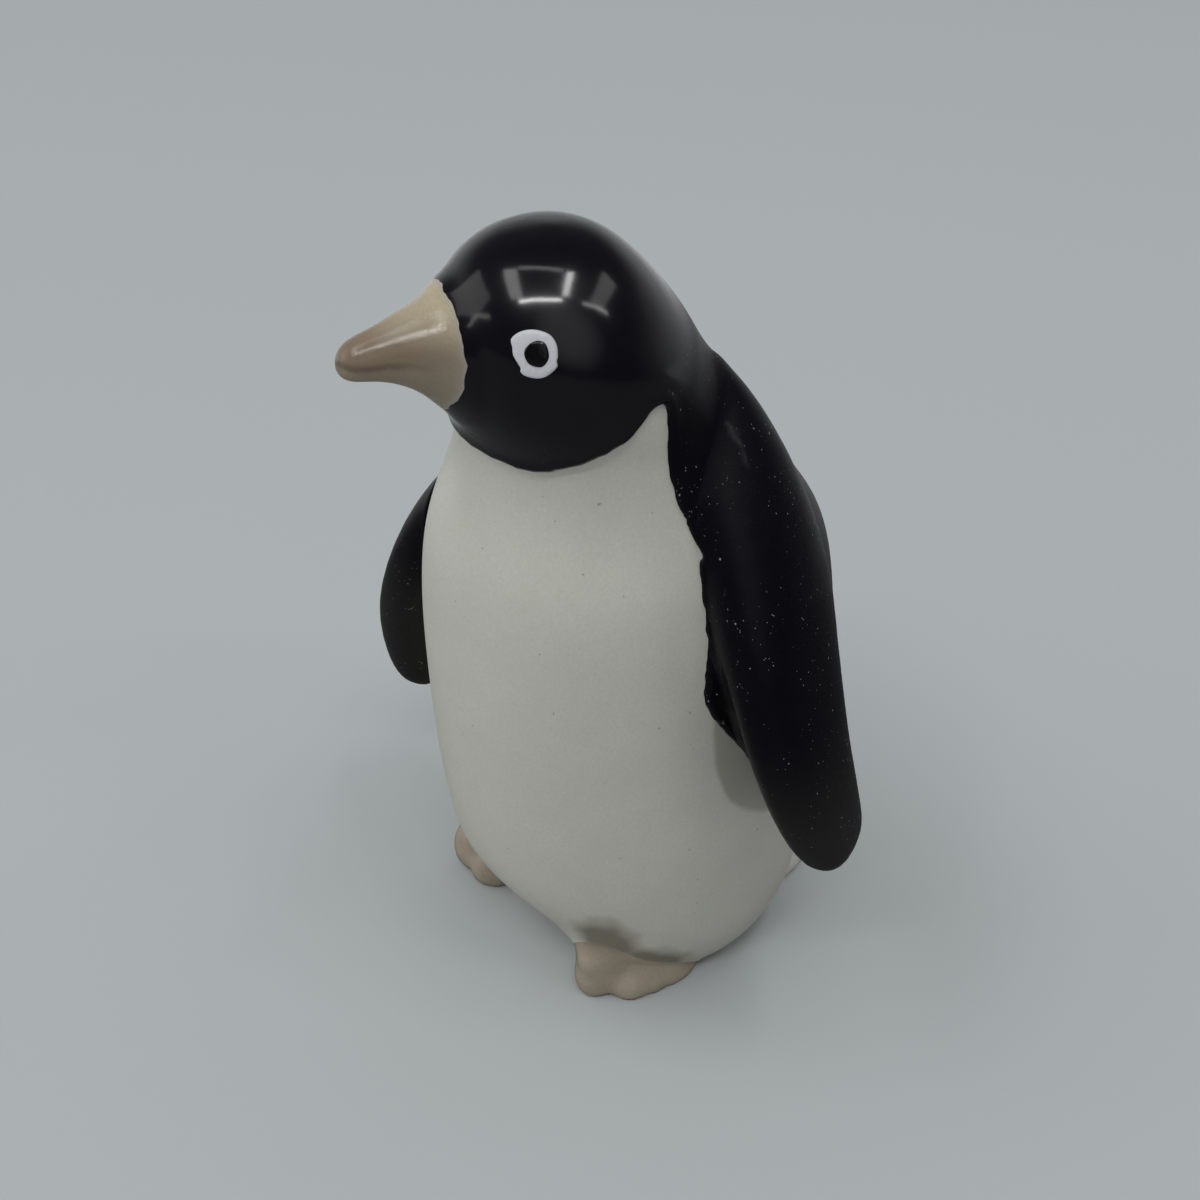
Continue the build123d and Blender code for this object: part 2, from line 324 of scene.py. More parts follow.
def close(bm):
    """Points a closed form's faces outwards."""
    bmesh.ops.recalc_face_normals(bm, faces=bm.faces)
    return bm


# A flipper's sections from its root: height, reach outwards from the body axis, reach to the front, half
# width, half thickness, fullness and twist. The right one was joined lower.
LEFT_FLIPPER_SECTIONS = [
    (49.6, 4.6, 1.8, 1.9, 1.8, 1.0, 0.0),
    (46.6, 7.1, 1.6, 3.0, 2.5, 1.0, 0.0),
    (42.8, 10.0, 1.8, 3.9, 2.7, 1.05, -2.0),
    (38.4, 13.0, 2.3, 4.3, 2.5, 1.1, -4.0),
    (33.2, 15.7, 3.1, 4.1, 2.2, 1.15, -6.0),
    (27.5, 17.9, 3.1, 3.7, 2.0, 1.15, -8.0),
    (23.0, 19.4, 2.4, 3.1, 1.7, 1.2, -8.0),
    (20.4, 20.3, 1.7, 2.3, 1.3, 1.3, -8.0),
    (19.4, 20.6, 1.3, 1.2, 0.7, 1.2, -8.0),
]
RIGHT_FLIPPER_SECTIONS = [
    (43.8, 3.0, 3.4, 1.9, 1.8, 1.0, 0.0),
    (40.8, 6.0, 3.0, 3.4, 2.6, 1.0, 0.0),
    (36.9, 9.6, 3.0, 4.6, 2.8, 1.05, -2.0),
    (32.2, 13.6, 3.6, 5.0, 2.7, 1.1, -4.0),
    (26.8, 17.0, 4.4, 4.5, 2.3, 1.15, -6.0),
    (21.0, 19.4, 4.4, 4.1, 2.0, 1.15, -8.0),
    (16.0, 20.5, 3.9, 3.5, 1.7, 1.2, -8.0),
    (12.9, 20.8, 3.6, 2.6, 1.3, 1.3, -8.0),
    (11.5, 20.8, 3.5, 1.3, 0.7, 1.2, -8.0),
]
RIGHT_FLIPPER_DROP = 5.8
RIGHT_WEB_INSET = 0.3
RIGHT_WEB_ADVANCE = 1.7

# Lobes of clay: centre, then the three half axes, the long one along a bearing.
LEFT_TOES = [
    (5.6, -8.7, 1.9, 2.1, 2.7, 3.5),
    (5.8, -9.1, 3.4, 1.8, 2.4, 2.7),
    (7.6, -6.9, 0.6, 1.8, 2.5, 1.8),
    (8.1, -5.6, 0.6, 1.7, 2.4, 1.6),
    (8.7, -3.8, 0.4, 1.4, 2.4, 1.3),
]
RIGHT_TOES = [
    (-10.4, -6.8, 1.7, 2.3, 2.6, 2.7),
    (-8.2, -7.2, 1.1, 1.9, 2.4, 2.0),
    (-10.8, -4.6, 0.5, 1.5, 2.6, 1.5),
]
BASE_LOBES = [
    (4.6, 3.0, 0.5, 4.3, 6.5, 1.6),
    (4.6, 9.9, 0.5, 3.4, 5.0, 1.7),
    (-4.6, 3.0, 0.5, 4.3, 6.5, 1.6),
    (-4.6, 9.9, 0.5, 3.4, 5.0, 1.7),
]

# The web of clay that fills the pocket between the breast and a flipper's front edge.
WEB_SECTIONS = [
    (40.5, 12.0, 3.0, 1.0, 1.2, 1.0, 0.0),
    (38.8, 12.5, 3.5, 1.8, 2.1, 1.0, 0.0),
    (36.5, 13.1, 3.8, 2.3, 2.5, 1.0, 0.0),
    (33.5, 13.8, 3.9, 2.3, 2.4, 1.0, 0.0),
    (30.5, 14.2, 3.7, 2.0, 1.9, 1.0, 0.0),
    (27.5, 14.5, 3.2, 1.5, 1.5, 1.0, 0.0),
    (25.0, 14.8, 2.6, 0.8, 0.9, 1.0, 0.0),
]


def lobes_form(lobes, bearing_angle=0.0):
    """Overlapping lobes of clay, cut level with the floor."""
    form = bmesh.new()
    for x, y, z, wide, long, high in lobes:
        turn = Matrix.Rotation(math.radians(bearing_angle), 4, "Z")
        size = Matrix.Diagonal((wide, long, high, 1.0))
        place = Matrix.Translation((x, y, z))
        bmesh.ops.create_uvsphere(form, u_segments=24, v_segments=16, radius=1.0,
                                  matrix=place @ turn @ size)
    bmesh.ops.bisect_plane(form, geom=form.verts[:] + form.edges[:] + form.faces[:],
                           plane_co=(0, 0, 0), plane_no=(0, 0, -1), clear_outer=True)
    bmesh.ops.holes_fill(form, edges=[edge for edge in form.edges if edge.is_boundary], sides=0)
    return close(form)


def flipper_form(side, sections):
    """The whole wing, with a root that starts inside the neck."""
    rows = smooth_rows(sections, 3)
    spine = [Vector((side * row[1], -row[2], row[0])) for row in rows]
    rings = []
    for index, row in enumerate(rows):
        tangent = spine[min(index + 1, len(spine) - 1)] - spine[max(index - 1, 0)]
        chord = bearing(180 - side * row[6])
        chord = (chord - tangent * (chord.dot(tangent) / tangent.length_squared)).normalized()
        thick = tangent.cross(chord).normalized()
        rings.append((spine[index], chord * row[3], thick * row[4], row[5]))
    return close(add_loft(bmesh.new(), rings))


casting = from_node("body_shell")
hole_wall = set()
for face in casting.faces:
    centre = face.calc_center_median()
    from_hole = Vector((centre.x, centre.y, 0)) - HOLE_PLACE
    if centre.z < FLOOR_THICKNESS and from_hole.length < HOLE_RADIUS * 1.02 and abs(face.normal.z) < 0.5:
        hole_wall.add(face)
crown = max(casting.faces, key=lambda face: face.calc_center_median().z)
outside = {face.index for face in reached_from(crown, hole_wall)}
hollow = casting.copy()
bmesh.ops.delete(hollow, geom=[f for f in hollow.faces if f.index in outside], context="FACES")
bmesh.ops.delete(casting, geom=[f for f in casting.faces if f.index not in outside], context="FACES")
hole_edges = [edge for edge in casting.edges if edge.is_boundary]
bmesh.ops.holes_fill(casting, edges=hole_edges, sides=0)
bare_body = BVHTree.FromBMesh(casting)


def merged_mesh(name, forms):
    """One mesh from several bmeshes."""
    mesh = bpy.data.meshes.new(name)
    total = bmesh.new()
    for form in forms:
        form.to_mesh(mesh)
        total.from_mesh(mesh)
    total.to_mesh(mesh)
    total.free()
    return mesh


left_flipper_form = flipper_form(1, LEFT_FLIPPER_SECTIONS)
right_flipper_form = flipper_form(-1, RIGHT_FLIPPER_SECTIONS)
forms = [casting, left_flipper_form, right_flipper_form]
right_web = []
for height, outwards, front, *shape in WEB_SECTIONS:
    right_web.append((height - RIGHT_FLIPPER_DROP, outwards - RIGHT_WEB_INSET, front + RIGHT_WEB_ADVANCE,
                      *shape))
forms += [flipper_form(1, WEB_SECTIONS), flipper_form(-1, right_web)]
forms += [lobes_form(LEFT_TOES, 12.0), lobes_form(RIGHT_TOES, -24.0), lobes_form(BASE_LOBES)]
forms += [from_node(node) for node in ("beak", "tail")]
rough_mesh = merged_mesh("skin", forms)
rough = bpy.data.objects.new("skin", rough_mesh)
scene.collection.objects.link(rough)
remesh = rough.modifiers.new("remesh", "REMESH")
remesh.mode = "VOXEL"
remesh.voxel_size = VOXEL
skin = bmesh.new()
remeshed = rough.evaluated_get(bpy.context.evaluated_depsgraph_get())
skin.from_mesh(bpy.data.meshes.new_from_object(remeshed))
bpy.data.objects.remove(rough)


# The clay was worked smooth into the corners, most of all at the shoulders. There it starts at one height
# in front and at another behind, and leaves the neck, the throat and the head as they are.
FILLINGS = 150
SHOULDER_FILLINGS = 1400
SMOOTHINGS = 12
SHOULDER_DEPTHS = (-3.0, 1.5)
SHOULDER_STARTS = (28.0, 35.0)
SHOULDER_TOP = 56.0
NECK_SIDE = 4.5
THROAT_HEIGHT = 47.0
THROAT_DEPTH = -7.6


def relax(bm, times, fill, more):
    """Smooths a skin without shrinking it, after its hollows are filled, most of all at the shoulders."""
    co = np.array([vert.co for vert in bm.verts])
    pairs = np.array([[vert.index for vert in edge.verts] for edge in bm.edges])
    both = every = np.concatenate([pairs, pairs[:, ::-1]])
    count = every_count = np.bincount(both[:, 0], minlength=len(co))[:, None]
    standing = co[:, 2] < 0.1
    normal = np.array([vert.normal for vert in bm.verts])

    def pull():
        """How far each vertex is from the middle of its neighbours."""
        around = co[both[:, 1]]
        mean = np.stack([np.bincount(both[:, 0], around[:, axis], len(co)) for axis in range(3)], 1)
        return mean / count - co

    level = co[:, 2] + np.where(co[:, 0] < 0, RIGHT_FLIPPER_DROP, 0)
    start = np.interp(co[:, 1], SHOULDER_DEPTHS, SHOULDER_STARTS)
    shoulder = np.clip((level - start) / 5, 0, 1) * np.clip((SHOULDER_TOP - co[:, 2]) / 4, 0, 1)
    shoulder *= np.clip((np.abs(co[:, 0]) - NECK_SIDE) / 1.5, 0, 1)
    under_throat = np.clip((THROAT_HEIGHT - co[:, 2]) / 2, 0, 1)
    shoulder *= np.maximum(under_throat, np.clip((co[:, 1] - THROAT_DEPTH) / 1.5, 0, 1))
    for turn in range(fill + more):
        if turn == fill:
            both = both[shoulder[both[:, 0]] > 0]
            count = np.maximum(np.bincount(both[:, 0], minlength=len(co)), 1)[:, None]
        outward = (pull() * normal).sum(1)
        outward = np.where((outward > 0) & (shoulder > 0 if turn >= fill else True), outward, 0)
        outward *= 1.0 if turn < fill else shoulder
        co += outward[:, None] * normal * 0.9
        co[standing, 2] = 0
    both, count = every, every_count
    for _ in range(times):
        co += pull() * 0.5
        co -= pull() * 0.52
        co[standing, 2] = 0
    for vert, place in zip(bm.verts, co):
        vert.co = place
    bm.normal_update()


# Soft swellings (+) and dents (-) that a finger left: centre, size and depth.
TOUCHES = [
    ((9.0, 8.0, 31.0), 7.5, 0.9),
    ((-9.0, 8.0, 31.0), 7.5, 0.6),
    ((-13.0, -7.0, 25.0), 5.0, -0.5),
    ((-2.8, -18.0, 50.8), 3.2, -0.65),
    ((-4.6, -21.0, 51.6), 2.4, -0.15),
    ((-1.0, -13.0, 3.0), 5.5, -1.0),
]
skin.verts.index_update()
skin.normal_update()
relax(skin, SMOOTHINGS, FILLINGS, SHOULDER_FILLINGS)
for vert in skin.verts:
    push = sum(depth * math.exp(-((vert.co - Vector(place)).length / size) ** 2)
               for place, size, depth in TOUCHES)
    vert.co += vert.normal * push * min((vert.co.z + 2) / 4, 1.0)
    vert.co.z = max(vert.co.z, 0.0)
skin.normal_update()


def off_body(co):
    """How far a point lies off the bare casting."""
    near, normal, _, distance = bare_body.find_nearest(co)
    return distance if (co - near).dot(normal) > 0 else -distance


# Edges of the finishes
# The black glaze was brushed on thickly over head, neck, back and flippers and ends in a raised lip. The
# breast, belly and tail were left white, and beak and feet were painted beige.

# Where beige was brushed past a foot onto the belly, darkened with painted shade in the crease above the
# foot: centre and half axes.
STAIN_AND_SHADE_PATCHES = [
    ((8.0, -11.0, 5.2), (2.7, 3.0, 4.5)),
    ((9.0, -7.5, 2.2), (2.6, 4.0, 3.4)),
    ((-9.0, -9.6, 3.2), (2.6, 2.6, 3.2)),
]
# The white window on breast and flank, as depth (y) and height from the back of the neck to the tail.
WINDOW_EDGE = [
    (-14.2, 46.4), (-13.6, 46.4), (-12.9, 47.0), (-11.5, 48.2), (-10.1, 49.4), (-8.9, 50.8), (-7.8, 51.0),
    (-7.5, 49.6), (-7.4, 47.5), (-7.3, 46.2), (-7.1, 44.6), (-6.8, 43.0), (-6.55, 41.8), (-6.35, 40.9),
    (-6.6, 40.1), (-6.8, 38.5), (-6.9, 34.3), (-7.0, 31.1), (-6.6, 29.5), (-5.4, 27.4), (-3.9, 25.3),
    (-2.8, 23.4), (-1.6, 20.8), (0.6, 16.6), (4.4, 13.2), (9.1, 9.9), (16.0, 9.6),
]
# The head faces this way from its centre. The beak's root lies this far ahead of it, and further below.
FACING = -21.0
BEAK_EDGE = 7.55
BEAK_EDGE_BELOW = 8.1
BEAK_LOWEST = 40.0
BLOT_PLACE = Vector((-2.1, -15.6, 57.2))
BLOT_SIZE = 0.55
BLOT_REACH = 1.1

# A limb starts where the skin stands this far off the bare casting, in its own part of the figure. The web
# in front of a flipper stands off further and still belongs to the body.
LIMB_EDGE = 0.12
LIMB_TOP = 8.0
FOOT_REAR = -0.5
TAIL_FRONT = 2.0
FLIPPER_EDGE = 0.35
FLIPPER_HEIGHTS = (9.0, 47.0)
FLIPPER_INSIDE = 6.0
WEB_REACH = 1.6

window = np.array(smooth_rows(WINDOW_EDGE, 6))
window = np.vstack([[(-40, window[0][1])], window, [(40, window[-1][1]), (40, -20), (-40, -20)]])


def outside_outline(points, outline):
    """How far each point of a plane lies outside a closed outline, and below 0 inside it."""
    best = np.full(len(points), 1e9)
    inside = np.zeros(len(points), bool)
    for start, end in zip(outline, np.roll(outline, -1, axis=0)):
        run = end - start
        share = np.clip(((points - start) @ run) / (run @ run), 0, 1)
        best = np.minimum(best, np.linalg.norm(points - start - share[:, None] * run, axis=1))
        crosses = (start[1] > points[:, 1]) != (end[1] > points[:, 1])
        rise = end[1] - start[1] if end[1] != start[1] else 1e-9
        inside ^= crosses & (points[:, 0] < start[0] + (points[:, 1] - start[1]) * run[0] / rise)
    return np.where(inside, -best, best)


def wobble(co, size, depth):
    """A small random shift of an edge, on waves about this long."""
    return noise.noise(co / size) * depth


layers = skin.verts.layers.float
FIELDS = ("beak", "foot", "tail", "flipper", "black", "rim", "stain", "hole")
field = {name: layers.new(name) for name in FIELDS}
smooth_normal = skin.verts.layers.float_vector.new("smooth_normal")
window_field = outside_outline(np.array([(vert.co.y, vert.co.z) for vert in skin.verts]), window)
facing = bearing(FACING)
for vert, from_window in zip(skin.verts, window_field):
    co = vert.co
    off = off_body(co)
    ahead = (co - HEAD_CENTRE).dot(facing)
    is_wing = FLIPPER_HEIGHTS[0] < co.z < FLIPPER_HEIGHTS[1] and abs(co.x) > FLIPPER_INSIDE
    vert[smooth_normal] = vert.normal
    border = BEAK_EDGE + (BEAK_EDGE_BELOW - BEAK_EDGE) * min(max((52.0 - co.z) / 1.6, 0.0), 1.0)
    ragged = wobble(co, 0.9, 0.16) + wobble(co, 0.35, 0.09)
    ragged -= BLOT_REACH * math.exp(-((co - BLOT_PLACE).length / BLOT_SIZE) ** 2)
    vert[field["beak"]] = ahead - border + ragged if co.z > BEAK_LOWEST else -9
    vert[field["foot"]] = off - LIMB_EDGE if co.z < LIMB_TOP and co.y < FOOT_REAR else -9
    from_hole = (co - HOLE_PLACE).length if co.z < 0.2 else 9
    vert[field["hole"]] = from_hole - HOLE_RADIUS - 0.1
    vert[field["tail"]] = off - LIMB_EDGE if co.z < LIMB_TOP and co.y > TAIL_FRONT else -9
    vert[field["flipper"]] = min(off - FLIPPER_EDGE, max(from_window, off - WEB_REACH)) if is_wing else -9
    reach = min(Vector((a - b) / c for a, b, c in zip(co, *stain)).length for stain in STAIN_AND_SHADE_PATCHES)
    vert[field["stain"]] = min(max((1.18 - reach + wobble(co, 1.3, 0.16)) / 0.5, 0.0), 1.0)
    vert[field["black"]] = max(from_window + wobble(co, 0.7, 0.12), vert[field["flipper"]])
locked = set()


def cut(bm, layer, value):
    """Runs edges along the line on which a field has a value."""
    mixed = []
    for face in bm.faces:
        signs = [vert[layer] > value for vert in face.verts]
        if any(signs) and not all(signs):
            mixed.append(face)
    parts = bmesh.ops.triangulate(bm, faces=mixed)["faces"]
    edges = dict.fromkeys(edge for face in parts for edge in face.edges)
    line = {}
    for edge in edges:
        first, second = edge.verts
        low, high = first[layer] - value, second[layer] - value
        if low * high >= 0:
            continue
        share = low / (low - high)
        if share < 0.2 and first not in locked:
            near = first
        elif share > 0.8 and second not in locked:
            near = second
        else:
            near = bmesh.utils.edge_split(edge, first, share)[1]
            near[layer] = value
            line[near] = True
            continue
        near.co = first.co.lerp(second.co, share)
        near[layer] = value
        line[near] = True
    bmesh.ops.connect_verts(bm, verts=list(line))
    locked.update(line)


for name in ("hole", "beak", "foot", "tail", "flipper", "black"):
    cut(skin, field[name], 0.0)


PIECES = ("body_shell", "black_coat", "beak", "left_foot", "right_foot", "tail", "left_flipper",
          "right_flipper")
BLACK_PIECES = ("black_coat", "left_flipper", "right_flipper")
piece_layer = skin.faces.layers.int.new("piece")


def painted(face):
    """Which finish of the bare casting a face of the skin has."""
    return "black_coat" if sum(vert[field["black"]] for vert in face.verts) > 0 else "body_shell"


def label(face):
    """The piece that a face of the skin belongs to."""
    side = "left_" if face.calc_center_median().x > 0 else "right_"
    for name, piece in (("beak", "beak"), ("foot", side + "foot"), ("tail", "tail"),
                        ("flipper", side + "flipper")):
        if sum(vert[field[name]] for vert in face.verts) > 0:
            return piece
    return painted(face)


# A piece keeps its largest island of faces. What a limb leaves over goes to the casting, and small spots of
# one finish of the casting go to the other.
SPOT_FACES = 40
OTHER_FINISH = {"body_shell": "black_coat", "black_coat": "body_shell"}

labels = {face: label(face) for face in skin.faces}
for name in PIECES[::-1]:
    left = {face for face in skin.faces if labels[face] == name}
    others = {face for face in skin.faces if labels[face] != name}
    islands = []
    while left:
        island = reached_from(next(iter(left)), others)
        left -= island
        islands.append(island)
    islands.sort(key=len)
    for island in islands[:-1]:
        for face in island:
            if name not in OTHER_FINISH:
                labels[face] = painted(face)
            elif len(island) < SPOT_FACES:
                labels[face] = OTHER_FINISH[name]
for face in skin.faces:
    face[piece_layer] = PIECES.index(labels[face])


# Coat and flippers
# The black glaze was brushed on the head, the back and the luted flippers in one coat about a third of a
# millimetre thick, and fired on. Its lip is round, with a fuller bead behind it, where the melt drew back.
GLAZE = 0.36
LIP = 0.34
BEAD = 0.05
SUNK = 0.05
FLIPPER_ROOT = 0.9
SCORES = (0.04, 0.12, 0.24, 0.42, 0.75)

lip_points = []
beak_rim = []
for edge in skin.edges:
    first, second = [labels[face] for face in edge.link_faces]
    if (first in BLACK_PIECES) != (second in BLACK_PIECES):
        locked.update(edge.verts)
        spots = [edge.verts[0].co.lerp(edge.verts[1].co, step / 8) for step in range(8)]
        if "beak" in (first, second):
            beak_rim += spots
        else:
            lip_points += spots
lip_tree = kdtree.KDTree(len(lip_points))
for index, co in enumerate(lip_points):
    lip_tree.insert(co, index)
lip_tree.balance()
black_verts = {vert for face in skin.faces if labels[face] in BLACK_PIECES for vert in face.verts}
for vert in skin.verts:
    vert[field["rim"]] = lip_tree.find(vert.co)[2] if vert in black_verts else -1.0
    if vert in black_verts and vert[field["rim"]] < 0.001:
        vert[field["rim"]] = 0.0
for distance in SCORES:
    cut(skin, field["rim"], distance)


def lip_height(distance):
    """The coat's thickness at a distance from its edge, and its slope there."""
    near = min(distance / LIP, 1.0)
    height = GLAZE * math.sqrt(max(1 - (1 - near) ** 2, 0.0))
    bead = BEAD * math.exp(-((distance - LIP) / 0.35) ** 2) * near
    return height + bead


def lip_slope(distance):
    """How steeply the coat rises at a distance from its edge."""
    step = 0.02
    return (lip_height(distance + step) - lip_height(max(distance - step, 0))) / (2 * step)


def piece_of(names):
    """A copy of the skin's faces that carry one of these labels."""
    part = skin.copy()
    layer = part.faces.layers.int["piece"]
    keep = {PIECES.index(name) for name in names}
    bmesh.ops.delete(part, geom=[face for face in part.faces if face[layer] not in keep], context="FACES")
    return part


def cap(bm, depth):
    """Closes a piece's open root with a wall that reaches this far into what carries it."""
    layer = bm.verts.layers.float_vector["smooth_normal"]
    rim = [edge for edge in bm.edges if edge.is_boundary]
    if depth:
        made = bmesh.ops.extrude_edge_only(bm, edges=rim)["geom"]
        for vert in [item for item in made if isinstance(item, bmesh.types.BMVert)]:
            vert.co -= vert[layer] * depth
        rim = [edge for edge in bm.edges if edge.is_boundary]
    filled = bmesh.ops.holes_fill(bm, edges=rim, sides=0)["faces"]
    bmesh.ops.triangulate(bm, faces=filled)


def finish_piece(bm, name, material):
    """Makes a bmesh the visible piece of its CAD node. A piece of the skin keeps the skin's shading."""
    layer = bm.verts.layers.float_vector.get("smooth_normal")
    bm.normal_update()
    mesh = bpy.data.meshes.new(name)
    bm.to_mesh(mesh)
    mesh.transform(Matrix.Scale(MM, 4))
    mesh.polygons.foreach_set("use_smooth", [True] * len(mesh.polygons))
    if layer:
        normals = []
        for vert in bm.verts:
            given = Vector(vert[layer])
            normals.append(given.normalized() if given.length > 0.5 else vert.normal.copy())
        mesh.normals_split_custom_set_from_vertices(normals)
    mesh.materials.append(material)
    piece = bpy.data.objects.new(name + "_skin", mesh)
    scene.collection.objects.link(piece)
    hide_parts(name)
    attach(piece, "root")


black = Shader("black_glaze", Specular_IOR_Level=0.1, Coat_Roughness=0.13, Coat_IOR=1.5)
x, y, z = [black.add("ShaderNodeSeparateXYZ", {}, black.place(), out=axis) for axis in "XYZ"]
from_head = black.add("ShaderNodeVectorMath", {"operation": "DISTANCE"}, black.place(),
                      (0.5, -11.5, 53.5), out="Value")
head = 1 - from_head.step(8.6, 10.4)
grain = black.noise(0.16, 3.0)
blotch = black.noise(2.4, 3.0)
specks = black.noise(0.2, 1.0).step(0.735, 0.755) * (1 - head) * blotch.step(0.42, 0.6)
# The lower flippers are a paler grey and a little smoother.
paler_low_flippers = (1 - z.step(20.0, 31.0)) * x.math("ABSOLUTE").step(14.5, 17.0)
tone = black.mix(blotch, (0.0016, 0.0013, 0.0034, 1), (0.0036, 0.0032, 0.0062, 1))
tone = black.mix(paler_low_flippers * 0.9, tone, (0.019, 0.019, 0.018, 1))
tone = black.mix(specks * 0.8, tone, (0.30, 0.30, 0.32, 1))
black.feed("Base Color", tone)
black.feed("Roughness", 0.38 - head * 0.06 + grain * 0.12 - paler_low_flippers * 0.04)
black.feed("Coat Weight", head * 0.9 + 0.08)
waves = black.noise(2.6, 1.0) * head * 0.55
black.feed("Normal", black.bump(waves + grain * (1 - head) * 0.5 + grain * head * 0.02, 0.03 * MM))


def raise_glaze(vert, rim, normal_layer):
    """Lifts a vertex of the coat to the top of the glaze and tilts its shading with the lip."""
    distance = max(vert[rim], 0.0)
    normal = Vector(vert[normal_layer]).normalized()
    away = vert.co - lip_tree.find(vert.co)[0]
    away -= normal * away.dot(normal)
    slope = min(lip_slope(distance), 2.5) if distance < 2.5 else 0.0
    vert.co += normal * lip_height(distance)
    if away.length > 1e-6:
        vert[normal_layer] = (normal - away.normalized() * slope).normalized()


for name in BLACK_PIECES:
    part = piece_of([name])
    rim = part.verts.layers.float["rim"]
    normal_layer = part.verts.layers.float_vector["smooth_normal"]
    if name == "black_coat":
        made = bmesh.ops.extrude_face_region(part, geom=list(part.faces), use_keep_orig=True)["geom"]
        top = {item for item in made if isinstance(item, bmesh.types.BMVert)}
        below = [face for face in part.faces if not any(vert in top for vert in face.verts)]
        bmesh.ops.reverse_faces(part, faces=below)
        for vert in part.verts:
            if vert in top:
                raise_glaze(vert, rim, normal_layer)
            else:
                vert.co -= Vector(vert[normal_layer]) * SUNK
                vert[normal_layer] = -Vector(vert[normal_layer])
    else:
        for vert in part.verts:
            raise_glaze(vert, rim, normal_layer)
        cap(part, FLIPPER_ROOT)
    if name == "black_coat":
        coat_tree = BVHTree.FromBMesh(part)
    finish_piece(part, name, black.material)


# Beak and feet
# The blunt cone of the beak and the two feet are lumps of the same clay, luted on before firing. They were
# brushed with a thin beige glaze, and the beak's root was flushed up to the top of the black coat.
BEAK_FILLET = 1.5
FRINGE_WIDTH = 0.3
LIMB_ROOT = 0.6

beige = Shader("beige_glaze", Specular_IOR_Level=0.5)
x, y, z = [beige.add("ShaderNodeSeparateXYZ", {}, beige.place(), out=axis) for axis in "XYZ"]
grain = beige.noise(0.2, 4.0, rough=0.7)
cloud = beige.noise(1.6, 3.0)
is_beak = z.step(30.0, 40.0)
height = z + (cloud - 0.5) * 0.7
# The beak is lighter towards the top: partly a yellower paint, partly painted light from above.
upper = height.step(53.4, 56.6)
from_line = (height - 53.0).math("ABSOLUTE")
mouth = (1 - from_line.step(0.02, 0.42)) * (1 - y.step(-20.0, -17.0)) * is_beak
# A browner band runs along the middle of the beak's sides.
brown_mid_band = (1 - (height - 53.9).math("ABSOLUTE").step(0.1, 1.6)) * (1 - y.step(-19.0, -16.0)) * is_beak
fringe = beige.add("ShaderNodeAttribute", {"attribute_name": "rim"}, out="Fac")
foot_tone = beige.mix(cloud, colour(170, 160, 144), colour(146, 137, 121))
beak_tone = beige.mix(upper, colour(136, 126, 110), colour(178, 166, 141))
# The tops of the feet, in the crease under the belly, are darkened: painted shade.
foot_tone = beige.mix(z.step(4.2, 6.4) * 0.7, foot_tone, colour(112, 104, 88))
tone = beige.mix(is_beak, foot_tone, beak_tone)
tone = beige.mix(grain.step(0.3, 0.8) * 0.2, tone, colour(100, 90, 76))
tone = beige.mix(brown_mid_band * 0.6, tone, colour(116, 97, 80))
tone = beige.mix(mouth * 0.5, tone, colour(72, 60, 50))
tone = beige.mix(fringe * 0.4, tone, colour(146, 152, 152))
beige.feed("Base Color", tone)
beige.feed("Roughness", grain * 0.24 + 0.02)
beige.feed("Normal", beige.bump(grain * 0.4 + cloud * 0.6, 0.035 * MM))

beak_tree = kdtree.KDTree(len(beak_rim))
for index, co in enumerate(beak_rim):
    beak_tree.insert(co, index)
beak_tree.balance()
for name in ("beak", "left_foot", "right_foot"):
    part = piece_of([name])
    layer = part.verts.layers.float_vector["smooth_normal"]
    fringe = part.verts.layers.float["rim"]
    for vert in part.verts:
        distance = beak_tree.find(vert.co)[2]
        if name == "beak":
            raised = GLAZE * math.exp(-(distance / BEAK_FILLET) ** 2)
            vert.co += Vector(vert[layer]).normalized() * raised
        vert[fringe] = math.exp(-(distance / FRINGE_WIDTH) ** 2) if name == "beak" else 0.0
    cap(part, LIMB_ROOT)
    finish_piece(part, name, beige.material)


# Tail and body
# The tail is a broad wedge of clay luted on behind, and the body is the hollow casting, which runs on under
# the black coat. Both carry one satin white glaze, which took some beige beside the feet, with painted
# shade in the creases above them and a painted shadow of the left flipper on the flank.
white = Shader("white_glaze", Specular_IOR_Level=0.35)
x, y, z = [white.add("ShaderNodeSeparateXYZ", {}, white.place(), out=axis) for axis in "XYZ"]
grain = white.noise(0.2, 4.0, rough=0.7)
cloud = white.noise(3.2, 2.0)
# A soft grey-brown patch on the left flank under the flipper: a painted shadow of the flipper.
across = y / 6.4
rise = (z - 28.0) / 10.5
painted_flipper_shadow = (1 - (across * across + rise * rise + (cloud - 0.5) * 0.12).step(0.86, 0.99)) * x.step(8.0, 9.0)
dots = white.noise(0.5, 1.0).step(0.77, 0.80)
stain = white.add("ShaderNodeAttribute", {"attribute_name": "stain"}, out="Fac")
tone = white.mix(cloud, colour(187, 187, 178), colour(196, 196, 188))
tone = white.mix(grain.step(0.25, 0.75) * 0.5, tone, colour(173, 173, 164))
tone = white.mix(painted_flipper_shadow * 0.6, tone, colour(122, 120, 110))
tone = white.mix(dots * 0.5, tone, colour(96, 94, 88))
# Beside the feet the white takes beige, darkened by painted shade in the crease above each foot.
tone = white.mix(stain * 0.85, tone, colour(112, 104, 88))
white.feed("Base Color", tone)
white.feed("Roughness", grain * 0.2 + 0.32)
white.feed("Normal", white.bump(grain * 0.6 + cloud * 0.4, 0.03 * MM))

part = piece_of(["tail"])
cap(part, LIMB_ROOT)
finish_piece(part, "tail", white.material)

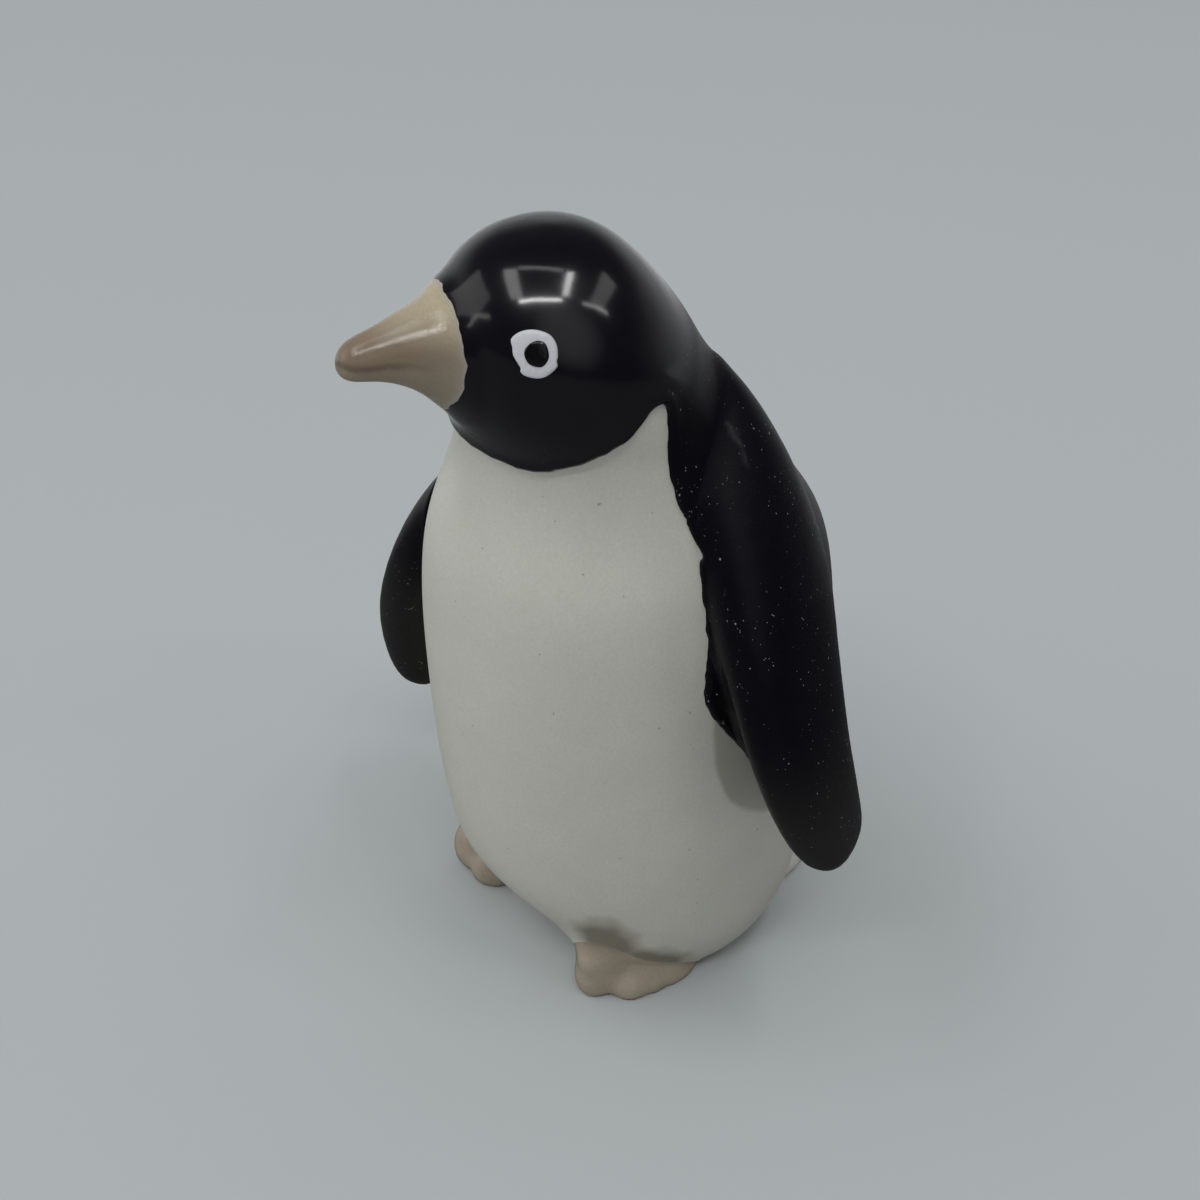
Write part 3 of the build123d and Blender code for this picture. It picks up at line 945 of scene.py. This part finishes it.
part = piece_of(["body_shell", "black_coat"])
cap(part, 0.0)
within = part.verts.layers.float["hole"]
over_hole = [face for face in part.faces if sum(vert[within] for vert in face.verts) < -1e-4]
bmesh.ops.delete(part, geom=over_hole, context="FACES")
hollow_mesh = bpy.data.meshes.new("hollow")
hollow.to_mesh(hollow_mesh)
part.from_mesh(hollow_mesh)
bpy.data.meshes.remove(hollow_mesh)
mouth = [edge for edge in part.edges if edge.is_boundary]
bmesh.ops.bridge_loops(part, edges=mouth)
bmesh.ops.recalc_face_normals(part, faces=part.faces)
finish_piece(part, "body_shell", white.material)


# Eyes
# Each eye is a thick round dab of white glaze on the black, with a smaller black dab on it. A brush set
# them down, so neither outline is quite round.
EYE_PLACE = Vector((4.7, -14.4, 55.1))
EYE_AXIS = Vector((0.58, -0.74, 0.34)).normalized()
RING_OUTLINE = [
    (-1.62, 0.66), (-1.19, 1.09), (-0.55, 1.30), (0.09, 1.28), (0.67, 1.05), (1.04, 0.54), (1.14, -0.05),
    (1.10, -0.35), (1.12, -0.73), (0.61, -1.25), (0.05, -1.46), (-0.67, -1.38), (-0.97, -1.16),
    (-0.98, -0.93), (-1.42, -0.29), (-1.52, 0.20),
]
PUPIL_OUTLINE = [
    (-0.78, -0.01), (-0.58, 0.42), (-0.10, 0.73), (0.40, 0.63), (0.64, 0.10), (0.62, -0.35), (0.30, -0.74),
    (-0.22, -0.74), (-0.60, -0.50),
]
RING_LEVELS = [
    (1.0, -0.3), (1.0, 0.03), (0.985, 0.09), (0.95, 0.14), (0.88, 0.17), (0.7, 0.18), (0.45, 0.16),
    (0.2, 0.14),
]
PUPIL_LEVELS = [(1.0, 0.0), (1.0, 0.17), (0.96, 0.22), (0.86, 0.25), (0.6, 0.27), (0.3, 0.275)]

eye_white = Shader("eye_white", Specular_IOR_Level=0.45)
streak = eye_white.noise(0.3, 3.0, (1, 1, 1.6))
eye_white.feed("Base Color", eye_white.mix(streak, colour(186, 186, 192), colour(204, 205, 210)))
eye_white.feed("Roughness", streak * 0.2 + 0.22)
eye_white.feed("Normal", eye_white.bump(streak, 0.03 * MM))
eye_black = Shader("eye_black", Specular_IOR_Level=0.4)
streak = eye_black.noise(0.25, 2.0)
eye_black.feed("Base Color", eye_black.mix(streak, (0.002, 0.002, 0.003, 1), (0.006, 0.005, 0.007, 1)))
eye_black.feed("Roughness", streak * 0.1 + 0.1)
eye_black.feed("Normal", eye_black.bump(streak, 0.02 * MM))


def other_side(vector):
    """A direction mirrored across the plane in which the head faces."""
    beside = bearing(FACING + 90)
    return vector - beside * 2 * vector.dot(beside)


def add_dab(name, outline, levels, material):
    """A dab of glaze with a hand-brushed outline, laid on the coat."""
    across = Vector((0, 0, 1)).cross(EYE_AXIS).normalized()
    axes = [across, EYE_AXIS.cross(across), EYE_AXIS, EYE_PLACE - HEAD_CENTRE]
    if name.startswith("right"):
        axes = [other_side(axis) for axis in axes]
    across, up, axis, place = axes
    rows = smooth_rows(outline[-2:] + outline + outline[:3], 5)[10:10 + 5 * len(outline)]
    middle = sum(rows) / len(rows)
    bm = bmesh.new()
    loops = []
    for index, (share, height) in enumerate(levels):
        made = bmesh.ops.create_circle(bm, segments=len(rows), radius=1.0,
                                       cap_ends=index in (0, len(levels) - 1))["verts"]
        for vert, row in zip(made, rows):
            spread = middle + (row - middle) * share
            spot = HEAD_CENTRE + place + across * spread[0] + up * spread[1]
            vert.co = coat_tree.ray_cast(spot + axis * 3, -axis)[0] + axis * height
        ring = set(made)
        loops.append([edge for edge in bm.edges if edge.verts[0] in ring and edge.verts[1] in ring])
    for lower, upper in zip(loops, loops[1:]):
        bmesh.ops.bridge_loops(bm, edges=lower + upper)
    bmesh.ops.triangulate(bm, faces=[face for face in bm.faces if len(face.verts) > 4])
    finish_piece(close(bm), name, material)


for side in ("left", "right"):
    add_dab(side + "_eye_ring", RING_OUTLINE, RING_LEVELS, eye_white.material)
    add_dab(side + "_pupil", PUPIL_OUTLINE, PUPIL_LEVELS, eye_black.material)
